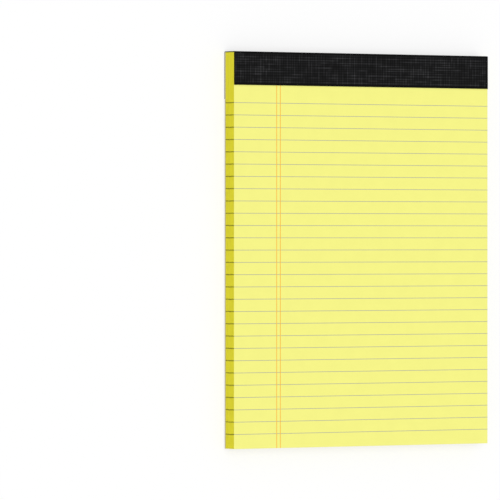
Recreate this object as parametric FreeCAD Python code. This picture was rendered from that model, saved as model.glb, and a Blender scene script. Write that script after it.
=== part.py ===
import FreeCAD, Part
import math
import os

# A top-bound legal pad that lies on its back, in millimetres.
# +X runs across the sheets, +Y towards the bound top edge, +Z out of the ruled face.
# The origin is the middle of the whole pad's footprint, on the surface it lies on.

# Paper and board, cut to one size
SHEET_WIDTH = 215.9
SHEET_HEIGHT = 279.4
SHEETS_THICKNESS = 11.1
BOARD_THICKNESS = 1.2

# Binding tape, folded over the top edge from the face to the back
TAPE_THICKNESS = 0.5
TAPE_FRONT_FLAP = 23.2
TAPE_BACK_FLAP = 33.0
FOLD_RADIUS = 0.4

# Wire staples under the tape, through the sheets and the board
STAPLE_COUNT = 3
STAPLE_SPACING = 75.0
STAPLE_FROM_TOP = 9.0
STAPLE_WIDTH = 12.0
STAPLE_CLINCH = 4.5
WIRE_THICKNESS = 0.5
WIRE_WIDTH = 0.7
WIRE_BEND_RADIUS = 0.8
WIRE_CLEARANCE = 0.04

# Levels and edges that follow from the sizes above
BACK_FACE = TAPE_THICKNESS
BOARD_FACE = BACK_FACE + BOARD_THICKNESS
RULED_FACE = BOARD_FACE + SHEETS_THICKNESS
TOP_EDGE = (SHEET_HEIGHT - TAPE_THICKNESS) / 2
BOTTOM_EDGE = TOP_EDGE - SHEET_HEIGHT
LEFT_EDGE = -SHEET_WIDTH / 2

# Middle lines of the wire: its crown is pressed flush with the face, its ends with the back
STAPLE_Y = TOP_EDGE - STAPLE_FROM_TOP
CROWN_Z = RULED_FACE - WIRE_CLEARANCE - WIRE_THICKNESS / 2
CLINCH_Z = BACK_FACE + WIRE_CLEARANCE + WIRE_THICKNESS / 2


def corner_arc(before, corner, after, radius):
    """The arc that rounds a corner, and its two tangent points."""
    inward = (corner - before).normalize()
    outward = (after - corner).normalize()
    turn = inward.getAngle(outward)
    setback = radius * math.tan(turn / 2)
    start = corner - inward * setback
    end = corner + outward * setback
    bisector = (outward - inward).normalize()
    centre = corner + bisector * (radius / math.cos(turn / 2))
    middle = centre - bisector * radius
    return start, Part.Arc(start, middle, end).toShape(), end


def rounded_path(corners):
    """Edges from corner to corner; a corner is (point, radius), with 0 for a sharp one."""
    edges = []
    position = corners[0][0]
    for index in range(1, len(corners) - 1):
        corner, radius = corners[index]
        if radius == 0:
            edges.append(Part.makeLine(position, corner))
            position = corner
            continue
        start, arc, end = corner_arc(corners[index - 1][0], corner, corners[index + 1][0], radius)
        edges.append(Part.makeLine(position, start))
        edges.append(arc)
        position = end
    edges.append(Part.makeLine(position, corners[-1][0]))
    return edges


def extruded_outline(corners, along):
    """A solid from a closed outline whose first corner is a sharp one."""
    closed_path = rounded_path(corners + corners[:1])
    return Part.Face(Part.Wire(closed_path)).extrude(along)


def across_the_pad(outline):
    """A solid as wide as the sheets, from (y, z, radius) corners."""
    corners = [(FreeCAD.Vector(LEFT_EDGE, y, z), radius) for y, z, radius in outline]
    return extruded_outline(corners, FreeCAD.Vector(SHEET_WIDTH, 0, 0))


def staple_centres():
    """The x of the middle of each staple, spread evenly about the pad's middle."""
    first = -STAPLE_SPACING * (STAPLE_COUNT - 1) / 2
    return [first + STAPLE_SPACING * index for index in range(STAPLE_COUNT)]


def bent_wire(centre_x, clearance):
    """One clinched staple, or, with a clearance, the hole that it sits in."""
    half_thickness = WIRE_THICKNESS / 2 + clearance
    width = WIRE_WIDTH + 2 * clearance
    leg = (STAPLE_WIDTH - WIRE_THICKNESS) / 2
    tip = leg - STAPLE_CLINCH - clearance
    outside = leg + half_thickness
    inside = leg - half_thickness
    outer_bend = WIRE_BEND_RADIUS + half_thickness
    inner_bend = WIRE_BEND_RADIUS - half_thickness
    outline = [
        (-tip, CLINCH_Z - half_thickness, 0),
        (-outside, CLINCH_Z - half_thickness, outer_bend),
        (-outside, CROWN_Z + half_thickness, outer_bend),
        (outside, CROWN_Z + half_thickness, outer_bend),
        (outside, CLINCH_Z - half_thickness, outer_bend),
        (tip, CLINCH_Z - half_thickness, 0),
        (tip, CLINCH_Z + half_thickness, 0),
        (inside, CLINCH_Z + half_thickness, inner_bend),
        (inside, CROWN_Z - half_thickness, inner_bend),
        (-inside, CROWN_Z - half_thickness, inner_bend),
        (-inside, CLINCH_Z + half_thickness, inner_bend),
        (-tip, CLINCH_Z + half_thickness, 0),
    ]
    front = STAPLE_Y - width / 2
    corners = [(FreeCAD.Vector(centre_x + x, front, z), radius) for x, z, radius in outline]
    return extruded_outline(corners, FreeCAD.Vector(0, width, 0))


def pressed_groove(low_x, high_x, low_z, high_z):
    """The open slot over a stretch of wire, on the face or on the back."""
    width = WIRE_WIDTH + 2 * WIRE_CLEARANCE
    corner = FreeCAD.Vector(low_x, STAPLE_Y - width / 2, low_z)
    return Part.makeBox(high_x - low_x, width, high_z - low_z, corner)


def staple_cutters():
    """What each staple takes out of the paper and the board: its holes and grooves."""
    half_groove = WIRE_THICKNESS / 2 + WIRE_CLEARANCE
    outside = STAPLE_WIDTH / 2 + WIRE_CLEARANCE
    clinch = STAPLE_CLINCH + half_groove + WIRE_CLEARANCE
    cutters = []
    for centre_x in staple_centres():
        left = centre_x - outside
        right = centre_x + outside
        cutters.append(bent_wire(centre_x, WIRE_CLEARANCE))
        cutters.append(pressed_groove(left, right, CROWN_Z - half_groove, RULED_FACE + TAPE_THICKNESS))
        cutters.append(pressed_groove(left, left + clinch, 0, CLINCH_Z + half_groove))
        cutters.append(pressed_groove(right - clinch, right, 0, CLINCH_Z + half_groove))
    return cutters


def ruled_sheets():
    """The stack of sheets; the folded tape rounds its top edge."""
    block = across_the_pad([
        (BOTTOM_EDGE, BOARD_FACE, 0),
        (TOP_EDGE, BOARD_FACE, 0),
        (TOP_EDGE, RULED_FACE, FOLD_RADIUS),
        (BOTTOM_EDGE, RULED_FACE, 0),
    ])
    return block.cut(staple_cutters())


def backing_board():
    """The chipboard behind the sheets, rounded at the top like the paper."""
    board = across_the_pad([
        (BOTTOM_EDGE, BOARD_FACE, 0),
        (BOTTOM_EDGE, BACK_FACE, 0),
        (TOP_EDGE, BACK_FACE, FOLD_RADIUS),
        (TOP_EDGE, BOARD_FACE, 0),
    ])
    return board.cut(staple_cutters())


def binding_tape():
    """One strip, folded round the top edge: a short flap in front, a longer one behind."""
    front_end = TOP_EDGE - TAPE_FRONT_FLAP
    back_end = TOP_EDGE - TAPE_BACK_FLAP
    outer_radius = FOLD_RADIUS + TAPE_THICKNESS
    return across_the_pad([
        (front_end, RULED_FACE, 0),
        (front_end, RULED_FACE + TAPE_THICKNESS, 0),
        (TOP_EDGE + TAPE_THICKNESS, RULED_FACE + TAPE_THICKNESS, outer_radius),
        (TOP_EDGE + TAPE_THICKNESS, BACK_FACE - TAPE_THICKNESS, outer_radius),
        (back_end, BACK_FACE - TAPE_THICKNESS, 0),
        (back_end, BACK_FACE, 0),
        (TOP_EDGE, BACK_FACE, FOLD_RADIUS),
        (TOP_EDGE, RULED_FACE, FOLD_RADIUS),
    ])


def wire_staples():
    """All the staples, as separate solids."""
    return Part.Compound([bent_wire(centre_x, 0) for centre_x in staple_centres()])


os.makedirs("parts", exist_ok=True)
ruled_sheets().exportStep("parts/ruled_sheets.step")
backing_board().exportStep("parts/backing_board.step")
binding_tape().exportStep("parts/binding_tape.step")
wire_staples().exportStep("parts/wire_staples.step")
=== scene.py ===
import math

import bpy
import numpy as np
from mathutils import Euler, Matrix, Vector


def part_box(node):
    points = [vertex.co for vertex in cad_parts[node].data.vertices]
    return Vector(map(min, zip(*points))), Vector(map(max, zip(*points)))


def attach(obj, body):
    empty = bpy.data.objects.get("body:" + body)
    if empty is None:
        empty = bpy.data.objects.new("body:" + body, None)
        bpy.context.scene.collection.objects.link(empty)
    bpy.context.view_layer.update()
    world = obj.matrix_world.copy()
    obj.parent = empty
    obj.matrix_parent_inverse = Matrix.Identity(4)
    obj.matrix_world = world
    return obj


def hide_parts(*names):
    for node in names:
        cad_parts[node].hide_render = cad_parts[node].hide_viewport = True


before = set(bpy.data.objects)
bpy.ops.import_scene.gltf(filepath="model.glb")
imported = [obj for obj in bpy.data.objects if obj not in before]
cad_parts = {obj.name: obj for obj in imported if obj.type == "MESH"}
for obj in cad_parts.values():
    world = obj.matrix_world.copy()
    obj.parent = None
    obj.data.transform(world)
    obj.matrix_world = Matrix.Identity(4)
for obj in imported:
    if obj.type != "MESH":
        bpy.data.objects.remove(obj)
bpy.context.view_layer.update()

MM = 0.001
SEED = 20
TOLERANCE = 0.001 * MM

# The view: how the photograph looks at the ruled face
VIEW_ANGLE = math.radians(32.04)
VIEW_PITCH = math.radians(0.11)
VIEW_DISTANCE = 4.0475
FACE_RIGHT_OF_AXIS = 80.25 * MM
FACE_ABOVE_AXIS = -0.18 * MM
SENSOR_WIDTH = 36.0
FOCAL_LENGTH = 408.63
CLIP_START = 0.1
CLIP_END = 100.0

# Floor and light
WHITE = (1, 1, 1, 1)
FLOOR_SIZE = 30.0
FLOOR_BOUNCE = 0.75
FLOOR_WHITE_SHARE = 0.6
WORLD_LIGHT = 0.55
LAMP_PLACE = (-1.3, 0.1, 5.0)
LAMP_SPREAD = math.radians(50)
LAMP_STRENGTH = 1.47

# The ruling, down from the sheet's top edge and in from its left edge
RULE_COUNT = 28
FIRST_RULE = 35.73 * MM
RULE_SPACING = 8.646 * MM
RULE_WIDTH = 0.3 * MM
MARGIN_LINES = (35.56 * MM, 38.56 * MM)
MARGIN_WIDTH = 0.5 * MM
EDGE_MARK_WIDTH = 0.64 * MM
EDGE_MARGIN_MARK_WIDTH = 0.5 * MM

# The leaves of the stack
LEAF_COUNT = 110
LEAF_GAP_DEPTH = 0.05 * MM
LEAF_GAP_SHARE = 0.12
LEAF_INSET = 0.04 * MM
LEAF_INSET_SPREAD = 0.03 * MM
LEAF_INSET_MOST = 0.14 * MM
LEAF_SHIFT = 0.12 * MM

# The linen emboss of the tape
THREAD_DEPTH = 0.06 * MM
CROSS_THREAD_PITCH = 1.8 * MM
CROSS_THREAD_RUN = 8.0 * MM
DOWN_THREAD_PITCH = 2.05 * MM
DOWN_THREAD_RUN = 5.0 * MM
DOWN_THREAD_SHARE = 0.45
PITCH_SPREAD = 0.3
WEAKEST_THREAD = 0.3
STRONG_THREAD_POWER = 1.6
PLAIN_BORDER = 0.8 * MM
BORDER_FADE = 0.5 * MM
FOLD_STEPS = 8

# Colours, in linear light
PAPER_COLOR = (0.922, 0.908, 0.240)
EDGE_COLOR = (0.882, 0.816, 0.043)
RULE_COLOR = (0.26, 0.26, 0.39)
MARGIN_COLOR = (0.98, 0.43, 0.004)
EDGE_MARK_COLOR = (0.27, 0.25, 0.02)
EDGE_MARGIN_MARK_COLOR = (0.80, 0.36, 0.02)
BOARD_COLOR = (0.68, 0.62, 0.36)
WIRE_COLOR = (0.62, 0.62, 0.62)
TAPE_TINT = (1.0, 1.0, 1.05)

# How light the tape is: darkest in its ground, painted shade between the threads, and lightest where
# strong threads cross, a painted highlight
TAPE_SHADED_GROUND = 0.0005
TAPE_CREST_HIGHLIGHT = 0.067
CROSSING_POWER = 1.7

# How dark the painted shade under the tape makes the leaves' top edges, and how far down it reaches
PAINTED_SHADE_UNDER_TAPE = 0.45
PAINTED_SHADE_DEPTH = 0.5 * MM

# The range that most of a noise's values fall in, and the higher one where flecks show
NOISE_MIDDLE = (0.3, 0.7)
NOISE_PEAKS = (0.66, 0.78)
FULL_RANGE = (0.0, 1.0)

# The materials of the sheets, and the walls round a sheet in the order of its points
SLOT_EDGE, SLOT_MARK, SLOT_MARGIN_MARK, SLOT_PAPER, SLOT_RULE, SLOT_MARGIN = range(6)
WALL_COUNT = 4
BOTTOM_WALL, RIGHT_WALL, TOP_WALL, LEFT_WALL = range(WALL_COUNT)

# Each piece's map runs from 0 to 1 both ways, with a border round it
MAP_BORDER = 0.01
MAP_LENGTH = 1 - 2 * MAP_BORDER

# The stack's map: a strip for each wall, and two small islands for what nothing shows
WALL_STRIP = 0.225
ISLAND_SIZE = 0.02
ISLAND_HEIGHT = 0.96
TOP_ISLAND_START = 0.02
BOTTOM_ISLAND_START = 0.06

# The top sheet's map: the face, then a line for each rule, margin line and wall, and then the
# underside, two lines wide; a line fills a share of its step
MARGIN_LINE_START = RULE_COUNT
WALL_LINE_START = MARGIN_LINE_START + len(MARGIN_LINES)
UNDERSIDE_LINE = WALL_LINE_START + WALL_COUNT
UNDERSIDE_WIDTH = 2
MAP_LINE_COUNT = UNDERSIDE_LINE + UNDERSIDE_WIDTH
MAP_LINE_SHARE = 0.5

# The tape's map: the embossed side, then a strip for the inner face and for each thin edge
OUTER_MAP_END = 0.9
STRIP_STEP = 0.018
END_STRIP_START = 3


def cad_points(node):
    """The corners of a CAD node's mesh, as an array."""
    return np.array([v.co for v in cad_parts[node].data.vertices])


# Sizes read from the frame
sheets_low, sheets_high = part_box("ruled_sheets")
tape_low, tape_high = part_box("binding_tape")
LEFT, RIGHT = sheets_low.x, sheets_high.x
BOTTOM, TOP = sheets_low.y, sheets_high.y
SHEETS_BACK, RULED_FACE = sheets_low.z, sheets_high.z
SHEET_WIDTH = RIGHT - LEFT
SHEET_HEIGHT = TOP - BOTTOM
TAPE_THICKNESS = tape_high.y - TOP

# The stack's leaves and the top sheet share the thickness
LEAF_THICKNESS = (RULED_FACE - SHEETS_BACK) / (LEAF_COUNT + 1)

tape_points = cad_points("binding_tape")
sheet_points = cad_points("ruled_sheets")
FRONT_FLAP_END = tape_points[tape_points[:, 2] > RULED_FACE + TOLERANCE, 1].min()
BACK_FLAP_END = tape_points[:, 1].min()
BOARD_BACK = tape_low.z + TAPE_THICKNESS
FOLD_RADIUS = TOP - sheet_points[sheet_points[:, 2] > RULED_FACE - TOLERANCE, 1].max()

RULE_HEIGHTS = [TOP - FIRST_RULE - RULE_SPACING * index for index in range(RULE_COUNT)]
MARGIN_PLACES = [LEFT + distance for distance in MARGIN_LINES]


def add_object(name, data):
    """A new object in the scene."""
    thing = bpy.data.objects.new(name, data)
    bpy.context.collection.objects.link(thing)
    return thing


# Materials


def new_material(name, roughness, specular=0.5):
    """A node material with its tree and its shader."""
    material = bpy.data.materials.new(name)
    material.use_nodes = True
    tree = material.node_tree
    shader = tree.nodes["Principled BSDF"]
    shader.inputs["Roughness"].default_value = roughness
    shader.inputs["Specular IOR Level"].default_value = specular
    return material, tree, shader


def feed(tree, socket, value):
    """Gives an input a plain value, or links it to the socket that the value is."""
    if isinstance(value, bpy.types.NodeSocket):
        tree.links.new(value, socket)
    else:
        socket.default_value = value


def add_node(tree, kind, settings=None, **inputs):
    """A node; its inputs are given by name, with _ for a space."""
    node = tree.nodes.new(kind)
    for name, value in (settings or {}).items():
        setattr(node, name, value)
    for name, value in inputs.items():
        feed(tree, node.inputs[name.replace("_", " ")], value)
    return node


def noise(tree, cells, detail=2.0):
    """Noise in the object's own coordinates, in cells a metre along x, y and z."""
    place = add_node(tree, "ShaderNodeTexCoord").outputs["Object"]
    stretched = add_node(tree, "ShaderNodeMapping", Vector=place, Scale=cells).outputs["Vector"]
    node = add_node(tree, "ShaderNodeTexNoise", Vector=stretched, Scale=1.0, Detail=detail)
    return node.outputs["Fac"]


def spread(tree, value, low, high, source):
    """Stretches a value's source range to low..high."""
    node = add_node(
        tree, "ShaderNodeMapRange", Value=value,
        From_Min=source[0], From_Max=source[1], To_Min=low, To_Max=high,
    )
    return node.outputs["Result"]


def mottle(tree, cells, low, high, detail=2.0, source=NOISE_MIDDLE):
    """A strength that wanders between low and high over the surface."""
    return spread(tree, noise(tree, cells, detail), low, high, source)


def combine(tree, operation, first, *others):
    """Values joined one after another by an operation of the Math node."""
    for other in others:
        node = add_node(tree, "ShaderNodeMath", {"operation": operation})
        feed(tree, node.inputs[0], first)
        feed(tree, node.inputs[1], other)
        first = node.outputs[0]
    return first


def paint(tree, shader, color, *strengths):
    """Gives a shader a colour times strengths that vary over the surface."""
    strength = combine(tree, "MULTIPLY", *strengths)
    shaded = add_node(
        tree, "ShaderNodeVectorMath", {"operation": "SCALE"}, Vector=color, Scale=strength
    )
    tree.links.new(shaded.outputs[0], shader.inputs["Base Color"])


def bump(tree, shader, height, depth):
    """Relief on a shader from a height that runs from 0 to 1."""
    node = add_node(tree, "ShaderNodeBump", Height=height, Distance=depth, Strength=1.0)
    tree.links.new(node.outputs["Normal"], shader.inputs["Normal"])


def paper_material():
    """The yellow face: nearly even, with a faint cloudiness and the tooth of the fibres."""
    material, tree, shader = new_material("yellow_paper_face", roughness=0.86, specular=0.25)
    clouds = mottle(tree, cells=(90, 90, 90), low=0.990, high=1.008)
    fibres = mottle(tree, cells=(1500, 2200, 1500), low=0.985, high=1.012, detail=3.0)
    paint(tree, shader, PAPER_COLOR, clouds, fibres)
    bump(tree, shader, noise(tree, cells=(2500, 3500, 2500), detail=3.0), depth=0.006 * MM)
    return material


def page_edge_material():
    """The cut edges of the leaves: deeper yellow, streaked along the sheets, with painted shade at
    the top.
    """
    material, tree, shader = new_material("page_edges", roughness=0.9, specular=0.2)
    leaves = mottle(tree, cells=(25, 25, 9000), low=0.94, high=1.05, detail=1.0)
    gathers = mottle(tree, cells=(9, 9, 1300), low=0.95, high=1.04)
    place = add_node(tree, "ShaderNodeTexCoord").outputs["Object"]
    along = add_node(tree, "ShaderNodeSeparateXYZ", Vector=place).outputs["Y"]
    # Painted shade: the edges grow darker towards the top, under the tape's fold
    painted_shade = spread(tree, along, low=1.0, high=PAINTED_SHADE_UNDER_TAPE, source=(TOP - PAINTED_SHADE_DEPTH, TOP))
    paint(tree, shader, EDGE_COLOR, leaves, gathers, painted_shade)
    bump(tree, shader, noise(tree, cells=(60, 60, 9000), detail=1.0), depth=0.02 * MM)
    return material


def ink_material(name, color, palest):
    """Printed ink, a little uneven along its line."""
    material, tree, shader = new_material(name, roughness=0.8, specular=0.25)
    density = mottle(tree, cells=(700, 700, 4000), low=palest, high=1.04, detail=3.0)
    paint(tree, shader, color, density)
    return material


def tape_material():
    """Black binding tape: lighter on the embossed threads as a painted highlight, darkest in the
    ground as painted shade.
    """
    material, tree, shader = new_material("black_linen_tape", roughness=0.62, specular=0.06)
    relief = add_node(tree, "ShaderNodeAttribute", {"attribute_name": "emboss"}).outputs["Fac"]
    # Painted highlight on the threads' crests and painted shade in the ground and plain borders,
    # both from the emboss
    crest_highlight = combine(tree, "POWER", relief, CROSSING_POWER)
    threads = spread(tree, crest_highlight, low=TAPE_SHADED_GROUND, high=TAPE_CREST_HIGHLIGHT, source=FULL_RANGE)
    weave_across = mottle(tree, cells=(1800, 160, 160), low=0.0, high=1.0, detail=1.0)
    weave_along = mottle(tree, cells=(160, 1800, 1800), low=0.0, high=1.0, detail=1.0)
    weave = combine(tree, "MAXIMUM", weave_across, weave_along)
    fibres = spread(tree, weave, low=0.7, high=1.2, source=FULL_RANGE)
    paint(tree, shader, TAPE_TINT, threads, fibres)
    bump(tree, shader, weave, depth=0.012 * MM)
    return material


def chipboard_material():
    """Pale chipboard: fine pulp specks, a few darker flecks, layered at its cut edges."""
    material, tree, shader = new_material("pale_chipboard", roughness=0.92, specular=0.2)
    pulp = mottle(tree, cells=(900, 700, 900), low=0.90, high=1.07, detail=4.0)
    layers = mottle(tree, cells=(12, 12, 5000), low=0.95, high=1.03)
    flecks = mottle(
        tree, cells=(650, 420, 650), low=1.0, high=0.72, detail=1.0, source=NOISE_PEAKS
    )
    paint(tree, shader, BOARD_COLOR, pulp, layers, flecks)
    bump(tree, shader, noise(tree, cells=(1200, 1200, 1200), detail=3.0), depth=0.03 * MM)
    return material


def wire_material():
    """Drawn steel wire, with fine draw lines along it."""
    material, tree, shader = new_material("drawn_steel_wire", roughness=0.32)
    lines = mottle(tree, cells=(400, 20000, 20000), low=0.85, high=1.05, detail=1.0)
    paint(tree, shader, WIRE_COLOR, lines)
    shader.inputs["Metallic"].default_value = 1.0
    return material


paper = paper_material()
page_edges = page_edge_material()
rule_ink = ink_material("rule_ink", RULE_COLOR, palest=0.9)
margin_ink = ink_material("margin_ink", MARGIN_COLOR, palest=0.93)
edge_marks = ink_material("rule_marks_on_edges", EDGE_MARK_COLOR, palest=0.75)
edge_margin_marks = ink_material("margin_marks_on_edges", EDGE_MARGIN_MARK_COLOR, palest=0.8)
linen = tape_material()
chipboard = chipboard_material()
steel = wire_material()

leaf_materials = [page_edges, edge_marks, edge_margin_marks, paper, rule_ink, margin_ink]


# Meshes


class MeshParts:
    """Gathers the points and faces of one piece, with a place on its map for each corner."""

    def __init__(self):
        self.points = []
        self.faces = []
        self.slots = []
        self.places = []

    def add_points(self, points):
        """Adds points and returns the number of the first."""
        first = len(self.points)
        self.points.extend(map(tuple, points))
        return first

    def add_face(self, corners, slot, places):
        """Adds a face by its corners' numbers, with its material's slot and its map places."""
        self.faces.append(tuple(int(corner) for corner in corners))
        self.slots.append(slot)
        self.places.extend(places)

    def build(self, name, materials):
        """The piece, as an object in the scene."""
        mesh = bpy.data.meshes.new(name)
        mesh.from_pydata(self.points, [], self.faces)
        for material in materials:
            mesh.materials.append(material)
        mesh.polygons.foreach_set("material_index", self.slots)
        layer = mesh.uv_layers.new(name="OFBake")
        layer.data.foreach_set("uv", np.array(self.places, float).ravel())
        mesh.update()
        return add_object(name, mesh)


def intervals(middles, width):
    """The two edges of each strip of that width, in rising order."""
    edges = []
    for middle in sorted(middles):
        edges += [middle - width / 2, middle + width / 2]
    return edges


def fold_inset(height):
    """How far the rounded top edge of the sheets stands back at a height."""
    above = height - (RULED_FACE - FOLD_RADIUS)
    if above <= 0:
        return 0.0
    return FOLD_RADIUS - math.sqrt(max(FOLD_RADIUS**2 - above**2, 0.0))


def along_wall(point, wall):
    """How far along its wall a point lies, as a share of the sheet's height."""
    x, y = point[0], point[1]
    return (x - LEFT, y - BOTTOM, RIGHT - x, TOP - y)[wall] / SHEET_HEIGHT


def outline_stretches(top_marks):
    """The wall and slot of each stretch round a sheet: plain and marked in turn on each wall."""
    stretches = []
    for wall, slot, marks in (
        (BOTTOM_WALL, SLOT_MARGIN_MARK, len(MARGIN_LINES)),
        (RIGHT_WALL, SLOT_MARK, RULE_COUNT),
        (TOP_WALL, SLOT_MARGIN_MARK, top_marks),
        (LEFT_WALL, SLOT_MARK, RULE_COUNT),
    ):
        stretches += [(wall, SLOT_EDGE)] + [(wall, slot), (wall, SLOT_EDGE)] * marks
    return stretches


def leaf_outline(insets, shifts, height):
    """Points round one leaf, from its bottom left corner along the bottom.

    insets are the left, right, bottom and top ones; shifts move the ink marks along x and y.
    """
    left_inset, right_inset, bottom_inset, top_inset = insets
    left, right = LEFT + left_inset, RIGHT - right_inset
    bottom, top = BOTTOM + bottom_inset, TOP - top_inset
    margins = [x + shifts[0] for x in intervals(MARGIN_PLACES, EDGE_MARGIN_MARK_WIDTH)]
    rules = [y + shifts[1] for y in intervals(RULE_HEIGHTS, EDGE_MARK_WIDTH)]
    points = [(left, bottom, height)]
    points += [(x, bottom, height) for x in margins]
    points += [(right, bottom, height)]
    points += [(right, y, height) for y in rules]
    points += [(right, top, height), (left, top, height)]
    points += [(left, y, height) for y in reversed(rules)]
    return points


def leaf_stack():
    """All the leaves under the top one, as one closed stack with a fine gap between leaves."""
    rng = np.random.default_rng(SEED)
    # A fourth inset is drawn and left out, because the fold sets the top edge's
    spreads = rng.normal(LEAF_INSET, LEAF_INSET_SPREAD, (LEAF_COUNT, 4))
    insets = np.clip(spreads, 0, LEAF_INSET_MOST)[:, :3]
    shifts = rng.normal(0, LEAF_SHIFT, (LEAF_COUNT, 2))
    gap = LEAF_THICKNESS * LEAF_GAP_SHARE
    rings = []
    for leaf in range(LEAF_COUNT):
        low = SHEETS_BACK + LEAF_THICKNESS * leaf
        high = low + LEAF_THICKNESS - gap
        outer = (*insets[leaf], fold_inset(high))
        rings.append(leaf_outline(outer, shifts[leaf], low))
        rings.append(leaf_outline(outer, shifts[leaf], high))
        if leaf < LEAF_COUNT - 1:
            deeper = np.maximum(insets[leaf], insets[leaf + 1]) + LEAF_GAP_DEPTH
            inner = (*deeper, fold_inset(high + gap))
            shift = (shifts[leaf] + shifts[leaf + 1]) / 2
            rings.append(leaf_outline(inner, shift, high + gap / 2))
    return rings


def wall_map(point, wall):
    """A wall's own strip of the map, stretched across the stack so that each leaf has room."""
    rise = (point[2] - SHEETS_BACK) / (RULED_FACE - SHEETS_BACK)
    across = MAP_BORDER + wall * (WALL_STRIP + MAP_BORDER) + rise * WALL_STRIP
    return MAP_BORDER + along_wall(point, wall) * MAP_LENGTH, across


def island_map(points, start):
    """A small island of the map, for a face that nothing shows."""
    return [
        (
            start + (x - LEFT) / SHEET_WIDTH * ISLAND_SIZE,
            ISLAND_HEIGHT + (y - BOTTOM) / SHEET_HEIGHT * ISLAND_SIZE,
        )
        for x, y, _ in points
    ]


def make_page_stack():
    """The stack of leaves below the top sheet."""
    rings = leaf_stack()
    stretches = outline_stretches(top_marks=0)
    count = len(stretches)
    parts = MeshParts()
    for ring in rings:
        parts.add_points(ring)
    for level in range(len(rings) - 1):
        for index, (wall, slot) in enumerate(stretches):
            following = (index + 1) % count
            corners = (
                (level, index), (level, following), (level + 1, following), (level + 1, index)
            )
            places = [wall_map(rings[ring][point], wall) for ring, point in corners]
            parts.add_face([ring * count + point for ring, point in corners], slot, places)
    top_ring = range((len(rings) - 1) * count, len(rings) * count)
    parts.add_face(top_ring, SLOT_PAPER, island_map(rings[-1], TOP_ISLAND_START))
    bottom_places = island_map(reversed(rings[0]), BOTTOM_ISLAND_START)
    parts.add_face(reversed(range(count)), SLOT_PAPER, bottom_places)
    return parts.build("page_stack", leaf_materials)


FACE_SCALE = MAP_LENGTH / SHEET_HEIGHT
MAP_LINES_START = 2 * MAP_BORDER + SHEET_WIDTH * FACE_SCALE
MAP_LINE_STEP = (1 - MAP_BORDER - MAP_LINES_START) / MAP_LINE_COUNT


def face_place(x, y):
    """The place of a point of the face on the top sheet's map."""
    return MAP_BORDER + (x - LEFT) * FACE_SCALE, MAP_BORDER + (y - BOTTOM) * FACE_SCALE


def line_place(line, share_across, share_along):
    """A place on one of the narrow lines beside the face on the top sheet's map."""
    return (
        MAP_LINES_START + (line + share_across * MAP_LINE_SHARE) * MAP_LINE_STEP,
        MAP_BORDER + share_along * MAP_LENGTH,
    )


def add_ruled_face(parts, columns, rows):
    """The face's paper, rules and margin lines; its points come first, row by row."""
    across = len(columns)
    parts.add_points((x, y, RULED_FACE) for y in rows for x in columns)
    for row in range(len(rows) - 1):
        for column in range(across - 1):
            corners = ((0, 0), (1, 0), (1, 1), (0, 1))
            numbers = [(row + r) * across + column + c for c, r in corners]
            spots = [(columns[column + c], rows[row + r]) for c, r in corners]
            if column % 2:
                slot, line = SLOT_MARGIN, MARGIN_LINE_START + column // 2
                places = [
                    line_place(line, c, (y - BOTTOM) / SHEET_HEIGHT)
                    for (c, _), (_, y) in zip(corners, spots)
                ]
            elif row % 2:
                slot, line = SLOT_RULE, row // 2
                places = [
                    line_place(line, r, (x - LEFT) / SHEET_WIDTH)
                    for (_, r), (x, _) in zip(corners, spots)
                ]
            else:
                slot = SLOT_PAPER
                places = [face_place(x, y) for x, y in spots]
            parts.add_face(numbers, slot, places)


def add_sheet_edges(parts, columns, rows):
    """The top sheet's four edges and its underside."""
    across, last_row = len(columns), len(rows) - 1
    border = [(c, 0) for c in range(across)]
    border += [(across - 1, r) for r in range(1, last_row + 1)]
    border += [(c, last_row) for c in range(across - 2, -1, -1)]
    border += [(0, r) for r in range(last_row - 1, 0, -1)]
    above = [r * across + c for c, r in border]
    spots = [(columns[c], rows[r]) for c, r in border]
    first = parts.add_points((x, y, RULED_FACE - LEAF_THICKNESS) for x, y in spots)
    below = range(first, first + len(border))
    for index, (wall, slot) in enumerate(outline_stretches(top_marks=len(MARGIN_LINES))):
        following = (index + 1) % len(border)
        start, end = along_wall(spots[index], wall), along_wall(spots[following], wall)
        places = [
            line_place(WALL_LINE_START + wall, share_up, share_along)
            for share_up, share_along in ((0, start), (0, end), (1, end), (1, start))
        ]
        corners = (below[index], below[following], above[following], above[index])
        parts.add_face(corners, slot, places)
    under = [
        line_place(
            UNDERSIDE_LINE,
            (x - LEFT) / SHEET_WIDTH * UNDERSIDE_WIDTH,
            (y - BOTTOM) / SHEET_HEIGHT,
        )
        for x, y in reversed(spots)
    ]
    parts.add_face(reversed(below), SLOT_PAPER, under)


def make_top_sheet():
    """The top sheet, with its rules and margin lines as faces of their own."""
    columns = [LEFT, *intervals(MARGIN_PLACES, MARGIN_WIDTH), RIGHT]
    rows = [BOTTOM, *intervals(RULE_HEIGHTS, RULE_WIDTH), TOP - fold_inset(RULED_FACE)]
    parts = MeshParts()
    add_ruled_face(parts, columns, rows)
    add_sheet_edges(parts, columns, rows)
    return parts.build("top_sheet", leaf_materials)


def thread_places(rng, length, pitch):
    """Valleys and crests in turn along a length; each thread has a width of its own."""
    steps = rng.uniform(1 - PITCH_SPREAD, 1 + PITCH_SPREAD, 2 * round(length / pitch))
    places = np.concatenate([[0.0], np.cumsum(steps)])
    return places * length / places[-1]


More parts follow.
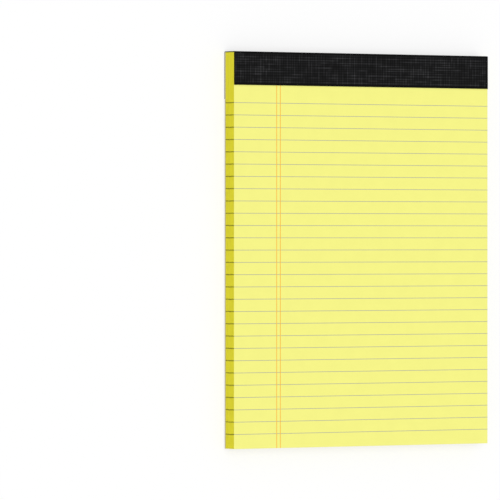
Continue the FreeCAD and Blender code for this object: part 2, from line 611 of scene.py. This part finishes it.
def fold_path(rng):
    """The tape's inner line from the front flap's end to the back flap's.

    Each row holds y, z, the outward normal's y and z, and 1 on a thread's crest or else 0.
    """
    centre_y = TOP - FOLD_RADIUS
    front_z, back_z = RULED_FACE - FOLD_RADIUS, BOARD_BACK + FOLD_RADIUS
    path = []

    def straight(start, end, normal):
        length = math.dist(start, end)
        for index, place in enumerate(thread_places(rng, length, CROSS_THREAD_PITCH)):
            share = place / length
            y = start[0] + (end[0] - start[0]) * share
            z = start[1] + (end[1] - start[1]) * share
            path.append((y, z, *normal, index % 2))

    def arc(middle, start_angle):
        for index in range(1, FOLD_STEPS):
            angle = start_angle - math.pi / 2 * index / FOLD_STEPS
            normal = (math.cos(angle), math.sin(angle))
            y = middle[0] + normal[0] * FOLD_RADIUS
            z = middle[1] + normal[1] * FOLD_RADIUS
            path.append((y, z, *normal, 0))

    straight((FRONT_FLAP_END, RULED_FACE), (centre_y, RULED_FACE), (0, 1))
    arc((centre_y, front_z), math.pi / 2)
    straight((TOP, front_z), (TOP, back_z), (1, 0))
    arc((centre_y, back_z), 0.0)
    straight((centre_y, BOARD_BACK), (BACK_FLAP_END, BOARD_BACK), (0, -1))
    return np.array(path)


def smooth_random(rng, places):
    """Random values at whole numbers, eased between them, read at the given places."""
    whole = places.astype(int)
    values = rng.random(whole.max() + 2)
    part = places - whole
    ease = part * part * (3 - 2 * part)
    return values[whole] * (1 - ease) + values[whole + 1] * ease


def thread_strengths(rng, count, places, run):
    """How far each thread rises at each place along it, up to 1."""
    starts = rng.random(count)
    strengths = np.array([smooth_random(rng, places / run + start) for start in starts])
    return WEAKEST_THREAD + (1 - WEAKEST_THREAD) * strengths**STRONG_THREAD_POWER


def linen_relief(rng, x, s, crest_rows, fold_rows):
    """The emboss over the tape, with rows along s, round the fold, and columns along x.

    Returns the threads, 0 in the ground and 1 where strong ones cross, and how far the tape is
    embossed at all, which is 0 along its borders and folds.
    """
    crest_columns = np.arange(len(x)) % 2
    across = thread_strengths(rng, len(s), x, CROSS_THREAD_RUN) * crest_rows[:, None]
    down = thread_strengths(rng, len(x), s, DOWN_THREAD_RUN).T * crest_columns
    fold_distance = np.abs(s[:, None] - s[fold_rows]).min(axis=1)
    border_s = np.minimum(np.minimum(s, s[-1] - s), fold_distance)
    border_x = np.minimum(x, x[-1] - x)
    border = np.minimum(border_x, border_s[:, None])
    embossed = np.clip((border - PLAIN_BORDER) / BORDER_FADE, 0, 1)
    threads = ((1 - DOWN_THREAD_SHARE) * across + DOWN_THREAD_SHARE * down) * embossed
    return threads, embossed


def strip_place(strip, along, across):
    """A place in the middle third of one of the thin strips of the tape's map."""
    share = strip + (1 + across) / 3
    return MAP_BORDER + along * MAP_LENGTH, OUTER_MAP_END + share * STRIP_STEP


def add_tape_outside(parts, share_x, share_s):
    """The faces of the embossed side, whose points come first, row by row."""
    width = len(share_x)
    map_x = MAP_BORDER + share_x * MAP_LENGTH
    map_s = MAP_BORDER + share_s * (OUTER_MAP_END - MAP_BORDER)
    for row in range(len(share_s) - 1):
        for column in range(width - 1):
            corner = row * width + column
            u1, u2, v1, v2 = map_x[column], map_x[column + 1], map_s[row], map_s[row + 1]
            numbers = (corner, corner + 1, corner + width + 1, corner + width)
            parts.add_face(numbers, 0, ((u1, v1), (u2, v1), (u2, v2), (u1, v2)))


def add_tape_inside(parts, inside, width, share_s):
    """The smooth inner face, and the long thin edges at the tape's left and right ends."""
    for row in range(len(share_s) - 1):
        left, right = inside + 2 * row, inside + 2 * row + 1
        edge, next_edge = row * width, (row + 1) * width
        low, high = share_s[row], share_s[row + 1]
        strips = (
            (
                (left, left + 2, right + 2, right),
                ((low, 0), (high, 0), (high, 1), (low, 1)),
            ),
            (
                (left, edge, next_edge, left + 2),
                ((low, 0), (low, 1), (high, 1), (high, 0)),
            ),
            (
                (right + 2, next_edge + width - 1, edge + width - 1, right),
                ((high, 0), (high, 1), (low, 1), (low, 0)),
            ),
        )
        for strip, (numbers, spots) in enumerate(strips):
            parts.add_face(numbers, 0, [strip_place(strip, *spot) for spot in spots])


def add_flap_ends(parts, inside, share_x, row_count):
    """The thin edges at the ends of the two flaps."""
    width = len(share_x)
    last_row, last_inside = (row_count - 1) * width, inside + 2 * (row_count - 1)
    ends = (
        (inside, inside + 1, range(width - 1, -1, -1), share_x[::-1]),
        (last_inside + 1, last_inside, range(last_row, last_row + width), share_x),
    )
    for strip, (first, second, edge, shares) in enumerate(ends, start=END_STRIP_START):
        spots = [(1 - shares[0], 0), (shares[0], 0), *((share, 1) for share in shares)]
        parts.add_face((first, second, *edge), 0, [strip_place(strip, *spot) for spot in spots])


def make_tape():
    """The tape as one folded strip, embossed outside and smooth inside."""
    rng = np.random.default_rng(SEED)
    path = fold_path(rng)
    inner, normals, crest_rows = path[:, :2], path[:, 2:4], path[:, 4]
    steps = np.linalg.norm(np.diff(inner + normals * TAPE_THICKNESS, axis=0), axis=1)
    s = np.concatenate([[0.0], np.cumsum(steps)])
    x = thread_places(rng, SHEET_WIDTH, DOWN_THREAD_PITCH)
    fold_rows = np.abs(normals).max(axis=1) < 1
    threads, embossed = linen_relief(rng, x, s, crest_rows, fold_rows)
    heights = TAPE_THICKNESS - THREAD_DEPTH * (embossed - threads)
    parts = MeshParts()
    for (y, z), (normal_y, normal_z), height in zip(inner, normals, heights):
        parts.add_points(zip(LEFT + x, y + normal_y * height, z + normal_z * height))
    inside = parts.add_points((side, y, z) for y, z in inner for side in (LEFT, RIGHT))
    share_x, share_s = x / x[-1], s / s[-1]
    add_tape_outside(parts, share_x, share_s)
    outside_faces = len(parts.faces)
    add_tape_inside(parts, inside, len(x), share_s)
    add_flap_ends(parts, inside, share_x, len(s))
    piece = parts.build("folded_tape", [linen])
    emboss = np.zeros(len(parts.points))
    emboss[:threads.size] = threads.ravel()
    # The emboss also sets the tape's painted highlight and shade in its material
    piece.data.attributes.new("emboss", "FLOAT", "POINT").data.foreach_set("value", emboss)
    for polygon in piece.data.polygons[:outside_faces]:
        polygon.use_smooth = True
    return piece


page_stack = make_page_stack()
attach(page_stack, "root")
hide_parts("ruled_sheets")

top_sheet = make_top_sheet()
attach(top_sheet, "root")
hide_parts("ruled_sheets")

tape = make_tape()
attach(tape, "root")
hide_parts("binding_tape")


def dress(node, material):
    """Gives a CAD node its material."""
    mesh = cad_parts[node].data
    mesh.materials.clear()
    mesh.materials.append(material)


dress("backing_board", chipboard)
dress("wire_staples", steel)


# Floor, light and camera


def shown_directly(tree):
    """1 for what the camera, a reflection or a view through glass sees, 0 for light on the pad."""
    paths = add_node(tree, "ShaderNodeLightPath").outputs
    names = ("Is Camera Ray", "Is Glossy Ray", "Is Transmission Ray")
    return combine(tree, "MAXIMUM", *(paths[name] for name in names))


def mix_shaders(tree, share, first, second):
    """Two shaders' blend, with that share of the second."""
    node = tree.nodes.new("ShaderNodeMixShader")
    for socket, source in zip(node.inputs, (share, first.outputs[0], second.outputs[0])):
        tree.links.new(source, socket)
    return node.outputs[0]


def make_floor():
    """A plain white floor: it keeps a soft shadow, and sends back a little less light than white."""
    material, tree, shader = new_material("white_floor", roughness=1.0, specular=0.0)
    seen = shown_directly(tree)
    bounce = (FLOOR_BOUNCE, FLOOR_BOUNCE, FLOOR_BOUNCE, 1)
    color = add_node(
        tree, "ShaderNodeMix", {"data_type": "RGBA"}, Factor=seen, A=bounce, B=WHITE
    )
    tree.links.new(color.outputs["Result"], shader.inputs["Base Color"])
    white = add_node(tree, "ShaderNodeEmission", Color=WHITE, Strength=1.0)
    white_share = combine(tree, "MULTIPLY", seen, FLOOR_WHITE_SHARE)
    blend = mix_shaders(tree, white_share, shader, white)
    tree.links.new(blend, tree.nodes["Material Output"].inputs["Surface"])
    half = FLOOR_SIZE / 2
    corners = [(-half, -half, 0), (half, -half, 0), (half, half, 0), (-half, half, 0)]
    mesh = bpy.data.meshes.new("floor")
    mesh.from_pydata(corners, [], [(0, 1, 2, 3)])
    mesh.materials.append(material)
    floor = add_object("floor", mesh)


def make_world():
    """Even soft light, and white behind the floor."""
    world = bpy.data.worlds.new("studio")
    bpy.context.scene.world = world
    world.use_nodes = True
    tree = world.node_tree
    tree.nodes.clear()
    light = add_node(tree, "ShaderNodeBackground", Color=WHITE, Strength=WORLD_LIGHT)
    white = add_node(tree, "ShaderNodeBackground", Color=WHITE, Strength=1.0)
    blend = mix_shaders(tree, shown_directly(tree), light, white)
    add_node(tree, "ShaderNodeOutputWorld", Surface=blend)


def make_lamp():
    """A broad soft light from above, a little from the left."""
    data = bpy.data.lights.new("soft_light", "SUN")
    data.energy = LAMP_STRENGTH
    data.angle = LAMP_SPREAD
    lamp = add_object("soft_light", data)
    lamp.location = LAMP_PLACE
    lamp.rotation_euler = (-Vector(LAMP_PLACE)).to_track_quat("-Z", "Y").to_euler()


def make_camera():
    """The photograph's view of the face: turned towards its left side, hardly tilted."""
    data = bpy.data.cameras.new("camera")
    data.sensor_width = SENSOR_WIDTH
    data.lens = FOCAL_LENGTH
    data.clip_start = CLIP_START
    data.clip_end = CLIP_END
    turn = Euler((-VIEW_PITCH, -VIEW_ANGLE, 0.0))
    face_centre = Vector(((LEFT + RIGHT) / 2, (BOTTOM + TOP) / 2, RULED_FACE))
    away = Vector((-FACE_RIGHT_OF_AXIS, -FACE_ABOVE_AXIS, VIEW_DISTANCE))
    away.rotate(turn)
    camera = add_object("camera", data)
    camera.location = face_centre + away
    camera.rotation_euler = turn
    bpy.context.scene.camera = camera


make_floor()
make_world()
make_lamp()
make_camera()

scene = bpy.context.scene
scene.view_settings.view_transform = "Standard"
